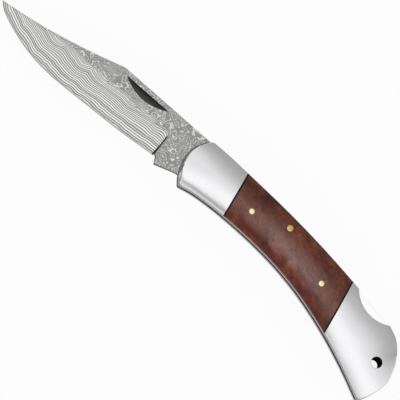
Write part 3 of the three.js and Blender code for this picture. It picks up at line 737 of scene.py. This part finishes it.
def crown(points):
    """Height of the crown over a place: the rim's height plus a rise. Across the handle the rise is
    whole in the middle, where back and belly are equally far, and falls to nothing at each of them. The
    back is the spine and the upper part of the butt. The rise also falls at the edge of the front and of
    the butt's foot. The three falls are multiplied, so that corners stay soft. Towards the chin the crown
    is fuller and its front more rounded. Last, the rim is rounded off along the belly: it drops by the
    square of the nearness to it."""
    to_back, to_front, to_belly, to_foot = (
        np.maximum(distance_to(side, points) - inset, LEAST_DISTANCE) for side, inset in (
            (crown_back, BACK_INSET), (front, COVER_INSET), (belly, COVER_INSET), (crown_foot, BACK_INSET)))
    forwards, downwards = np.moveaxis(np.clip((np.array(CHIN_PLACE) - points) / CHIN_SIZE, 0, 1), -1, 0)
    fullness = CROWN_POWER + (CHIN_POWER - CROWN_POWER) * forwards
    rounding = END_ROUNDING + (CHIN_ROUNDING - END_ROUNDING) * downwards
    falls = (
        (np.abs(to_back - to_belly) / (to_back + to_belly), fullness),
        (np.clip(1 - to_front / rounding, 0, 1), CROWN_POWER),
        (np.clip(1 - to_foot / END_ROUNDING, 0, 1), CROWN_POWER))
    rise = CROWN_RISE
    for fall, power in falls:
        rise = rise * (1 - fall**power)
    return RIM_HEIGHT + rise - RIM_DROP * np.clip(1 - to_belly / RIM_ROUNDING, 0, 1) ** 2


def cut_line(line, joint, shift=0, keep="right"):
    """The part of a line of points on one side of a slanted joint, ended exactly on the joint."""
    (x0, y0), (x1, y1) = joint
    over = line[:, 0] - shift - x0 - (line[:, 1] - y0) * (x1 - x0) / (y1 - y0)
    kept = over > 0 if keep == "right" else over < 0
    i = np.flatnonzero(kept[1:] != kept[:-1])[0]
    crossing = line[i] + (line[i + 1] - line[i]) * over[i] / (over[i] - over[i + 1])
    inner = line[kept]
    return np.vstack([crossing, inner] if keep == "right" else [inner, crossing])


def soft_corner(first, second, reach):
    """Two lines that meet in a corner, each ended in the middle of the parabola that rounds it."""
    corner = first[-1]
    before, after = (
        line[np.linalg.norm(line - corner, axis=1) > reach] for line in (first, second))
    curve = parabola(before[-1], corner, after[0], 2 * CORNER_STEPS + 1)
    return np.vstack([before, curve[1:CORNER_STEPS + 1]]), np.vstack([curve[CORNER_STEPS:-1], after])


def spread(line, count, crowding=0):
    """A line as a given number of points, which crowd towards both ends as crowding grows to 1."""
    lengths = np.append(0, np.cumsum(np.linalg.norm(np.diff(line, axis=0), axis=1)))
    t = np.linspace(0, 1, count)
    t = (1 - crowding) * t + crowding * (1 - np.cos(np.pi * t)) / 2
    return np.stack([np.interp(t * lengths[-1], lengths, line[:, axis]) for axis in (0, 1)], 1)


def patch(low, high, left, right):
    """Grid between four border lines: the two ruled surfaces added, less the surface of the corners."""
    u = np.linspace(0, 1, len(low))[:, None, None]
    v = np.linspace(0, 1, len(left))[None, :, None]
    corners = ((1 - u) * ((1 - v) * low[0] + v * high[0]) + u * ((1 - v) * low[-1] + v * high[-1]))
    return (1 - v) * low[:, None] + v * high[:, None] + (1 - u) * left[None] + u * right[None] - corners


def block(name, upper, lower, tops, borders, side):
    """Closed solid between two like sheets of points, walled along the borders of the upper one. The
    far side is the near side mirrored in the plane between the liners."""
    count = len(upper)
    walls = [np.stack([b[:-1] + count, b[1:] + count, b[1:], b[:-1]], 1) for b in borders]
    faces = [*tops, *(part[:, ::-1] + count for part in tops), *walls]
    if side < 0:
        faces = [part[:, ::-1] for part in faces]
    return new_piece(name, np.vstack([upper, lower]) * (1, 1, side), faces)


def cover(name, grid, side):
    """Block over a grid of places, from the liner's face up to the crown, with upright walls."""
    top = crown(grid)
    upper = np.concatenate([grid, top[..., None]], -1).reshape(-1, 3)
    lower = raised(upper[:, :2], COVER_FLOOR)
    index = np.arange(top.size).reshape(top.shape)
    borders = (index[:, 0], index[::-1, -1], index[0, ::-1], index[-1])
    return block(name, upper, lower, [grid_faces(*top.shape)], borders, side)


def ease(piece, width):
    """Rounds every sharp edge of a piece a little."""
    bevel = piece.modifiers.new("eased_edges", "BEVEL")
    bevel.width = width * MM
    bevel.segments = 2
    bevel.limit_method = "ANGLE"
    bevel.angle_limit = EASE_ANGLE
    bevel.harden_normals = True


cover_spine = offset(spine, -BACK_INSET, closed=False)
cover_belly = offset(belly, COVER_INSET, closed=False)
cover_front = offset(front, COVER_INSET, closed=False)
cover_butt = offset(butt, BACK_INSET, closed=False)
cover_front[0] = cover_spine[0] = SPINE_CURVE[0] + HEAD_SHIFT
cover_front[-1] = cover_belly[0] = BELLY_CURVE[0] + CHIN_SHIFT
cover_belly[-1] = cover_butt[0] = BELLY_CURVE[-1] + FOOT_SHIFT

STREAK_LENGTH = 16
CLOUD_SIZES = (12, 7, 7)
TONE_SHARES = (0.94, 1.04)
BORE_SHADE_COLOUR = (0.03, 0.03, 0.03, 1)
BORE_EDGE = (0.02, 0.12)
LOW_SHADE_SHARE = 0.55
LOW_SHADE_FADE = 0.25


def brushed_steel(name, colour, roughness, streak_width=0.12, turn=0, bore=None, shade_below=None):
    """Steel ground along its length: long fine streaks and wide faint clouds change its grey and its
    shine, and the streaks stand up a little. The wall of its bore is painted black as shade. Below a
    height over the middle plane it is painted darker, as shade."""
    material, shader = new_material(name)
    streaks = shader.noise((STREAK_LENGTH, streak_width, streak_width), turn, seed=5, detail=3)
    clouds = shader.noise(CLOUD_SIZES, turn, seed=6)
    tone = streaks * 0.25 + clouds * 0.25 + 0.5
    low_shade_colour = [channel * LOW_SHADE_SHARE for channel in colour]
    colour = shader.mix(tone, *([channel * share for channel in colour] for share in TONE_SHARES))
    # Painted shade: below a height over the middle plane the steel is painted darker, along the walls and low
    # rim.
    if shade_below:
        height = shader.axes(shader.places())[2].size()
        colour = shader.mix(height.above(shade_below - LOW_SHADE_FADE, shade_below), low_shade_colour, colour)
    shader.feed("Principled BSDF", {
        "Base Color": colour, "Metallic": 1, "Roughness": streaks * 0.02 + clouds * 0.015 + roughness,
        "Normal": shader.bump(streaks, 0.001, 0.3)})
    if bore:
        (bore_x, bore_y), radius = bore
        x, y = shader.axes(shader.places())[:2]
        away = shader.node("ShaderNodeVectorMath", {"operation": "LENGTH"}, {
            0: shader.node("ShaderNodeCombineXYZ", sockets={0: x - bore_x, 1: y - bore_y})}, output="Value")
        # Painted shade: the bore's wall is painted black.
        bore_shade = shader.node("ShaderNodeBsdfDiffuse", sockets={"Color": BORE_SHADE_COLOUR})
        steel = Value(shader, shader.tree.nodes["Principled BSDF"].outputs[0])
        outside = away.above(*(radius + width for width in BORE_EDGE))
        shader.feed("Material Output", {
            "Surface": shader.node("ShaderNodeMixShader", sockets={0: outside, 1: bore_shade, 2: steel})})
    return material


LANYARD = (92.2, -15)
LANYARD_RADIUS = 2.13
polished = brushed_steel(
    "polished_steel", (0.66, 0.66, 0.67), roughness=0.18, turn=-8, bore=(LANYARD, LANYARD_RADIUS),
    shade_below=RIM_HEIGHT - RIM_DROP)


def front_bolster_grid():
    """Patch between the front curve, the joint, the spine and the belly."""
    head, low_line = soft_corner(cover_front, cover_belly, CHIN_CORNER)
    head, top_line = soft_corner(head[::-1], cover_spine, COVER_CORNER)
    low, high = (
        spread(cut_line(line, FRONT_JOINT, keep="left"), BOLSTER_POINTS, LONG_CROWDING)
        for line in (low_line, top_line))
    joint = np.stack([low[-1], high[-1]])
    return patch(low, high, *(spread(line, BOLSTER_POINTS, SHORT_CROWDING) for line in (head, joint)))


for name, side in SIDES.items():
    bolster = cover(f"polished_front_bolster_{name}", front_bolster_grid(), side)
    ease(bolster, BOLSTER_EDGE)
    bolster.data.materials.append(polished)
    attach(bolster, "handle")
    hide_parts(f"front_bolster_{name}")


# Fibre spacers: thin sheets of black vulcanised fibre, one at each end of each scale. They are glued
# between the bolster and the wood, and ground flush with both.
FIBRE_THICKNESS = 0.6
FIBRE_COLUMNS = 3
FIBRE_ROWS = 60
FIBRE_COLOURS = ((0.004, 0.003, 0.004), (0.016, 0.013, 0.016))
FELTING = {"sizes": (0.5, 0.15, 0.3), "seed": 7, "detail": 3}
GLUE_FILM = 0.02
JOINT_CROWDING = 0.2

fibre, shader = new_material("black_fibre")
felting = shader.noise(**FELTING)
shader.feed("Principled BSDF", {
    "Base Color": shader.mix(felting * 0.3 + 0.5, *FIBRE_COLOURS), "Roughness": felting * 0.05 + 0.6,
    "Specular IOR Level": 0.15, "Normal": shader.bump(felting, 0.01, 0.4)})


def joint_grid(columns, rows, front_joint, front_shift, rear_joint, rear_shift):
    """Patch of the covers between two slanted joints, each moved rearwards by its shift."""
    lines = []
    for line in (cover_belly, cover_spine):
        line = cut_line(line, front_joint, front_shift, keep="right")
        line = cut_line(line, rear_joint, rear_shift, keep="left")
        lines.append(spread(line, columns, JOINT_CROWDING))
    low, high = lines
    sides = [spread(np.stack([low[end], high[end]]), rows, SHORT_CROWDING) for end in (0, -1)]
    return patch(low, high, *sides)


spacer_shifts = {
    "front": (FRONT_JOINT, GLUE_FILM),
    "rear": (REAR_JOINT, -GLUE_FILM - FIBRE_THICKNESS),
}
for place, (joint, shift) in spacer_shifts.items():
    for name, side in SIDES.items():
        grid = joint_grid(FIBRE_COLUMNS, FIBRE_ROWS, joint, shift, joint, shift + FIBRE_THICKNESS)
        spacer = cover(f"fibre_sheet_{place}_{name}", grid, side)
        spacer.data.materials.append(fibre)
        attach(spacer, "handle")
        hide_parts(f"fibre_spacer_{place}_{name}")


# Wood scales: two slabs of burl wood, glued and pinned to the liners. They are ground to one crown with
# the bolsters and lacquered, and a pale band of painted sheen runs along the top of the crown.
SCALE_PIN_RADIUS = 1.1
SCALE_PINS = {"front": (20.9, -3.1), "rear": (57.8, -6.3)}
ROCKER = (35.7, 1.7)
ROCKER_RADIUS = 1.25
PIN_SEAM = 0.04
SCALE_EDGE = 0.05
SCALE_COLUMNS = 150
SCALE_ROWS = 60
DRILL_REACH = 8
DRILL_POINTS = 64

BURL_STOPS = [
    (0.0, (0.035, 0.008, 0.004)), (0.3, (0.08, 0.018, 0.008)), (0.5, (0.112, 0.028, 0.012)),
    (0.75, (0.165, 0.05, 0.024)), (1.0, (0.28, 0.105, 0.05))]
BELLY_STOPS = [
    (0.0, (0.03, 0.003, 0.001)), (0.35, (0.08, 0.01, 0.003)), (0.6, (0.125, 0.018, 0.005)),
    (0.85, (0.21, 0.042, 0.01)), (1.0, (0.33, 0.08, 0.02))]
PATCHES = {"sizes": (9, 5, 5), "turn": -25, "seed": 8, "detail": 4, "swirl": 1.2}
MOTTLE = {"sizes": (2.2, 1.4, 1.4), "turn": -25, "seed": 9, "detail": 3, "swirl": 0.8}
VEINS = {"sizes": (5, 3, 3), "turn": 30, "seed": 10, "detail": 3, "swirl": 2}
PORES = {"sizes": (0.9, 0.25, 0.25), "turn": -20, "seed": 11, "detail": 2}
PATCH_SHARE = 0.42
MOTTLE_SHARE = 0.22
RED_BORDER = (1.5, 8)
PORE_COLOUR = (0.03, 0.009, 0.007)
VEIN_BORDER = (0.02, 0.16)
VEIN_SHARE = 0.3
PORE_BORDER = (0.5, 1)
PORE_SHARE = 0.2
SHEEN_COLOUR = (0.35, 0.2, 0.18)
SHEEN_SHARE = 0.46
SHEEN_START = (2.6, 6.6)
SHEEN_END = (7, 14)
SHEEN_MIDDLE_X = 43
SHEEN_REACH = (6, 24)
SHEEN_FALL = 0.55
CRACK_PLACE = (42.4, -3.5)
CRACK_TURN = math.radians(18)
CRACK_LENGTH = 5
CRACK_WIDTH = 0.16
CRACK_BEND = 0.06
CRACK_WANDER = 0.25
CRACK_SHARE = 0.8
CRACK_DEPTH = 3


def burl_wood():
    """Burl: swirling patches of brown, redder towards the belly, with fine short pores and darker veins
    between them, under a clear finish, with a pale band of painted sheen along the top of the crown. One
    short drying crack bends across the middle."""
    material, shader = new_material("burl_wood")
    patches = shader.noise(**PATCHES)
    mottle = shader.noise(**MOTTLE)
    veins = shader.noise(**VEINS).size()
    pores = shader.noise(**PORES)
    figure = patches * PATCH_SHARE + mottle * MOTTLE_SHARE + 0.5
    brown, red = (
        shader.node("ShaderNodeValToRGB", {"stops": stops}, {0: figure})
        for stops in (BURL_STOPS, BELLY_STOPS))
    distance = shader.node("ShaderNodeAttribute", {"attribute_name": "belly_distance"}, output="Fac")
    colour = shader.mix((distance + patches * 1.5).above(*RED_BORDER), red, brown)
    shade = (1 - veins.above(*VEIN_BORDER)) * VEIN_SHARE + pores.above(*PORE_BORDER) * PORE_SHARE
    colour = shader.mix(shade, colour, PORE_COLOUR)
    # Painted highlight: a pale band of sheen along the middle of the crown, weaker towards both ends.
    crest = distance + patches * 0.8
    x, y = shader.axes(shader.places())[:2]
    lengthwise = 1 - (x - SHEEN_MIDDLE_X).size().above(*SHEEN_REACH) * SHEEN_FALL
    painted_sheen = crest.above(*SHEEN_START) * (1 - crest.above(*SHEEN_END)) * lengthwise
    painted_sheen = painted_sheen * (mottle * 0.3 + 1) * SHEEN_SHARE
    colour = shader.mix(painted_sheen, colour, SHEEN_COLOUR)
    from_x, from_y = x - CRACK_PLACE[0], y - CRACK_PLACE[1]
    along = from_x * math.cos(CRACK_TURN) + from_y * math.sin(CRACK_TURN)
    across = from_y * math.cos(CRACK_TURN) - from_x * math.sin(CRACK_TURN)
    across = across + along * along * CRACK_BEND + mottle * CRACK_WANDER
    crack = 1 - across.size().above(0, CRACK_WIDTH)
    crack = crack * (1 - along.size().above(CRACK_LENGTH / 4, CRACK_LENGTH / 2))
    colour = shader.mix(crack * CRACK_SHARE, colour, PORE_COLOUR)
    relief = pores - crack * CRACK_DEPTH
    shader.feed("Principled BSDF", {
        "Base Color": colour, "Roughness": pores * 0.04 + mottle * 0.03 + 0.3, "Specular IOR Level": 0.22,
        "Coat Weight": 0.15, "Coat Roughness": 0.16, "Normal": shader.bump(relief, 0.008, 0.4)})
    return material


burl = burl_wood()


def drill(centre, radius):
    """Closed round rod that bores a hole through the handle."""
    rim = arc(centre, radius, 0, 360, DRILL_POINTS + 1)[:-1]
    points = np.stack([raised(rim, level) for level in (DRILL_REACH, -DRILL_REACH)], 1)
    ends = [np.arange(0, 2 * len(rim), 2)[None], np.arange(1, 2 * len(rim), 2)[None, ::-1]]
    wall = grid_faces(len(rim), 2, wrap=True)[:, ::-1]
    return new_piece("drill", points.reshape(-1, 3), [wall, *ends])


for name, side in SIDES.items():
    shift = 2 * GLUE_FILM + FIBRE_THICKNESS
    grid = joint_grid(SCALE_COLUMNS, SCALE_ROWS, FRONT_JOINT, shift, REAR_JOINT, -shift)
    scale = cover(f"burl_scale_{name}", grid, side)
    ease(scale, SCALE_EDGE)
    holes = [(centre, SCALE_PIN_RADIUS) for centre in SCALE_PINS.values()] + [(ROCKER, ROCKER_RADIUS)]
    cut(scale, [drill(centre, radius + PIN_SEAM) for centre, radius in holes])
    scale.data.materials.clear()
    scale.data.materials.append(burl)
    mark(scale, "belly_distance", distance_to(belly, flat_places(scale)))
    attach(scale, "handle")
    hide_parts(f"scale_{name}")


# Pins: brass ones are riveted through the wood and filed to a low dome over its crown. The lock bar's
# pin is of bronze and goes right through the handle.
PIN_DOME = 0.05
PIN_FOOT = 1.62
PIN_EDGE = 0.06
PIN_EDGE_START = 0.9
PIN_RINGS = np.array([1, 0.96, 0.88, 0.7, 0.5, 0.3, 0.1])
PIN_POINTS = 48

brass = brushed_steel("pale_brass", (0.8, 0.7, 0.4), roughness=0.24, streak_width=0.08)
bronze = brushed_steel("bronze", (0.77, 0.5, 0.2), roughness=0.26, streak_width=0.08)


def solid_pin(name, centre, radius, foot, side):
    """Round pin with a domed end, or with one on each side where it has no foot. An end lies on rings
    from its rim to its middle: the crown plus a shallow dome, less a fall just before the rim."""
    rim = arc((0, 0), radius, 0, 360, PIN_POINTS + 1)[:-1]
    grid = np.asarray(centre) + rim[:, None] * PIN_RINGS[None, :, None]
    edge = np.clip(PIN_RINGS - PIN_EDGE_START, 0, 1) / (1 - PIN_EDGE_START)
    top = crown(grid) + PIN_DOME * (1 - PIN_RINGS**2) - PIN_EDGE * edge
    upper = np.concatenate([grid, top[..., None]], -1).reshape(-1, 3)
    if foot is None:
        lower = upper * (1, 1, -1)
    else:
        lower = raised(upper[:, :2], foot)
    index = np.arange(top.size).reshape(top.shape)
    tops = [grid_faces(*top.shape, wrap=True), index[:, -1][None]]
    return block(name, upper, lower, tops, [np.append(index[:, 0], index[:1, 0])], side)


pins = [("brass_rocker_pin", ROCKER, ROCKER_RADIUS, None, 1, "lock_bar_pin", bronze)]
for place, centre in SCALE_PINS.items():
    for name, side in SIDES.items():
        pins.append((
            f"brass_pin_{place}_{name}", centre, SCALE_PIN_RADIUS, PIN_FOOT, side,
            f"scale_pin_{place}_{name}", brass))
for name, centre, radius, foot, side, node, metal in pins:
    pin = solid_pin(name, centre, radius, foot, side)
    pin.data.materials.append(metal)
    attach(pin, "handle")
    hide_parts(node)


# Rear bolsters: polished steel, with a thumb notch ground through them and the liners to reach the
# lock bar, and a lanyard hole drilled through the whole handle.
NOTCH_CENTRE = (79.93, 9.9)
NOTCH_RADIUS = 13.1
NOTCH_END_GAP = 0.25
NOTCH_POINTS = 60
REAR_COLUMNS = 90
COLUMNS_BEFORE_NOTCH = 12
REAR_ROWS = 80
REAR_CROWDING = 0.4


def notched(line):
    """A line that runs through the thumb notch, as its part before the notch, the notch's arc and its
    part after the notch."""
    depth = NOTCH_RADIUS - np.linalg.norm(line - NOTCH_CENTRE, axis=1)
    inside = np.flatnonzero(depth > 0)
    ends = []
    for kept, lost in ((inside[0] - 1, inside[0]), (inside[-1] + 1, inside[-1])):
        share = depth[kept] / (depth[kept] - depth[lost])
        ends.append(line[kept] + share * (line[lost] - line[kept]))
    start, end = (math.degrees(math.atan2(*(place - NOTCH_CENTRE)[::-1])) for place in ends)
    bottom = arc(NOTCH_CENTRE, NOTCH_RADIUS, start, end, NOTCH_POINTS)
    after = line[inside[-1] + 1:]
    after = after[np.linalg.norm(after - ends[1], axis=1) > NOTCH_END_GAP]
    return np.vstack([line[:inside[0]], ends[0]]), bottom, np.vstack([ends[1], after])


def rear_bolster_grid():
    """Patch between the belly, the butt, the spine with its notch, and the joint."""
    low_line, butt_line = soft_corner(cover_belly, cover_butt, COVER_CORNER)
    low_line = cut_line(low_line, REAR_JOINT, keep="right")
    top_line = cut_line(cover_spine, REAR_JOINT, keep="right")
    top_line, notch_line, butt_line = notched(np.vstack([top_line[:-1], butt_line[::-1]]))
    high_line = np.vstack([
        spread(top_line, COLUMNS_BEFORE_NOTCH + 1)[:-1],
        spread(notch_line, REAR_COLUMNS - COLUMNS_BEFORE_NOTCH)])
    left_line = np.stack([low_line[0], top_line[0]])
    sides = (spread(line, REAR_ROWS, REAR_CROWDING) for line in (left_line, butt_line[::-1]))
    return patch(spread(low_line, REAR_COLUMNS), high_line, *sides)


for name, side in SIDES.items():
    bolster = cover(f"polished_rear_bolster_{name}", rear_bolster_grid(), side)
    cut(bolster, [drill(LANYARD, LANYARD_RADIUS)])
    ease(bolster, BOLSTER_EDGE)
    bolster.data.materials.clear()
    bolster.data.materials.append(polished)
    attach(bolster, "handle")
    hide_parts(f"rear_bolster_{name}")


# Liners: steel plates with the handle's full outline, blanked and drilled together. Only their edges
# show, along the belly, the spine and the butt.
GAP_HALF = 1.6
LINER_OUTER = 2.9
LINER_CORNER = 0.5
LINER_EASE = 0.1
PIVOT_RADIUS = 2
RIVET_RADIUS = 1.1
RIVETS = {"upper": (94.5, -9.3), "lower": (93.5, -23)}
HOLE_SEAM = 0.03

satin = brushed_steel(
    "satin_steel", (0.36, 0.36, 0.365), roughness=0.32, bore=(LANYARD, LANYARD_RADIUS))


def plate(name, outline, holes, low, high, chamfer):
    """Flat plate with eased edges: every border is drawn in a little on both faces, and each face is
    filled around its holes. Holes run clockwise, so that drawing them in widens them."""
    loops = [outline, *holes]
    insets = [offset(loop, chamfer) for loop in loops]
    levels = (high, high - chamfer, low + chamfer, low)
    points, faces, first = [], [], 0
    for loop, inset in zip(loops, insets):
        rims = zip((inset, loop, loop, inset), levels)
        band = np.stack([raised(rim, level) for rim, level in rims], 1)
        points.append(band.reshape(-1, 3))
        faces.append(grid_faces(len(loop), len(levels), first, wrap=True)[:, ::-1])
        first += band.size // 3
    cap = cap_faces(insets[0], insets[1:])
    flat = np.vstack(insets)
    for level, part in ((high, cap), (low, cap[:, ::-1])):
        points.append(raised(flat, level))
        faces.append(part + first)
        first += len(flat)
    piece = new_piece(name, np.vstack(points), faces)
    weld(piece)
    return piece


def liner_outline():
    """Belly, butt, thumb notch, spine and front, one after the other."""
    low_line, butt_line = soft_corner(belly, butt, LINER_CORNER)
    front_line, low_line = soft_corner(front, low_line, LINER_CORNER)
    top_line, notch_line, butt_line = notched(np.vstack([spine[:-1], butt_line[::-1]]))
    loop = (low_line, butt_line[::-1], notch_line[::-1], top_line[::-1], front_line)
    return np.vstack([line[:-1] for line in loop])


pinned = [(PIVOT, PIVOT_RADIUS), (ROCKER, ROCKER_RADIUS)]
pinned += [(centre, SCALE_PIN_RADIUS) for centre in SCALE_PINS.values()]
pinned += [(centre, RIVET_RADIUS) for centre in RIVETS.values()]
liner_holes = [round_hole(centre, radius + HOLE_SEAM) for centre, radius in pinned]
liner_holes.insert(0, round_hole(LANYARD, LANYARD_RADIUS))
for name, side in SIDES.items():
    low, high = sorted((side * GAP_HALF, side * LINER_OUTER))
    liner = plate(f"steel_liner_{name}", liner_outline(), liner_holes, low, high, LINER_EASE)
    liner.data.materials.append(satin)
    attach(liner, "handle")
    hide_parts(f"liner_{name}")


# Held parts: the pivot pin, the butt spacer and its two rivets are steel, and two thin bronze washers
# lie beside the tang. The spacer's edge shows between the liners around the butt.
def dress(node, material):
    """Gives a part of the frame that stays as it is its real surface."""
    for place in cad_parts[node].material_slots:
        place.material = material


for node in ("pivot_pin", "butt_spacer", "butt_rivet_upper", "butt_rivet_lower"):
    dress(node, satin)
for name in SIDES:
    dress(f"pivot_washer_{name}", bronze)


# Lock bar: a steel rocker between the liners. Its tooth drops into the tang, and its back is flush with
# the spine and shows in the thumb notch, where it is pressed to unlock the blade.
BAR_HALF = 1.45
TOOTH_GAP = 0.3
TOOTH_WIDTH = 1.8
TOOTH_CLEARANCE = 0.1
TOOTH_POINTS = 6
BAR_BOSS_RADIUS = 1.95
BAR_BOSS_ANGLES = (-35, -145)
BAR_BOSS_POINTS = 12
BAR_HOLE_SEAM = 0.1
BAR_CHAMFER = 0.2
BAR_END_GAP = 0.3
BAR_END_HEIGHT = 3.2
BAR_BACK_GAPS = (0.4, 0.3)
BAR_REAR_UNDERSIDE = np.array([[79, -3.75], [70, -2.25], [60, -0.8], [46, 0.75]])
BAR_FRONT_UNDERSIDE = np.array([[26, 2], [17, 2.4], [14, 3.4], [12.2, 4.75]])


def lock_bar_outline():
    """Underside from the rear forwards, tooth, and back along the spine."""
    tooth_front = PIVOT[0] + TOOTH_GAP
    tooth_rear = tooth_front + TOOTH_WIDTH
    end = SPINE_CURVE[-1, 0] - BAR_END_GAP
    radius = CAM_RADIUS + TOOTH_CLEARANCE
    angles = [math.degrees(math.acos((x - PIVOT[0]) / radius)) for x in (tooth_rear, tooth_front)]
    front_gap, rear_gap = BAR_BACK_GAPS
    back = spine[(spine[:, 0] > tooth_front + front_gap) & (spine[:, 0] < end - rear_gap)]
    end_y = np.interp(end, *spine.T)
    return np.vstack([
        [[end, end_y], [end, end_y - BAR_END_HEIGHT]], BAR_REAR_UNDERSIDE,
        arc(ROCKER, BAR_BOSS_RADIUS, *BAR_BOSS_ANGLES, BAR_BOSS_POINTS), BAR_FRONT_UNDERSIDE,
        [[tooth_rear, BAR_FRONT_UNDERSIDE[-1, 1]]], arc(PIVOT, radius, *angles, TOOTH_POINTS),
        [[tooth_front, np.interp(tooth_front, *spine.T)]], back])[::-1]


rocker_hole = round_hole(ROCKER, ROCKER_RADIUS + BAR_HOLE_SEAM)
lock_bar = plate(
    "polished_lock_bar", lock_bar_outline(), [rocker_hole], -BAR_HALF, BAR_HALF, BAR_CHAMFER)
# Painted highlight: the bar's steel has a near-white grey, so that its back shows pale in the thumb notch.
lock_bar.data.materials.append(brushed_steel("steel_painted_bright", (0.88, 0.88, 0.88), roughness=0.16))
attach(lock_bar, "lock_bar")
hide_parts("lock_bar")


# Leaf spring: a strip of hardened and blued steel. The butt spacer holds its rear end, and it presses
# on the lock bar from below, behind the bar's pin.
blued = brushed_steel("blued_spring_steel", (0.3, 0.31, 0.36), roughness=0.3, streak_width=0.1)
dress("lock_spring", blued)
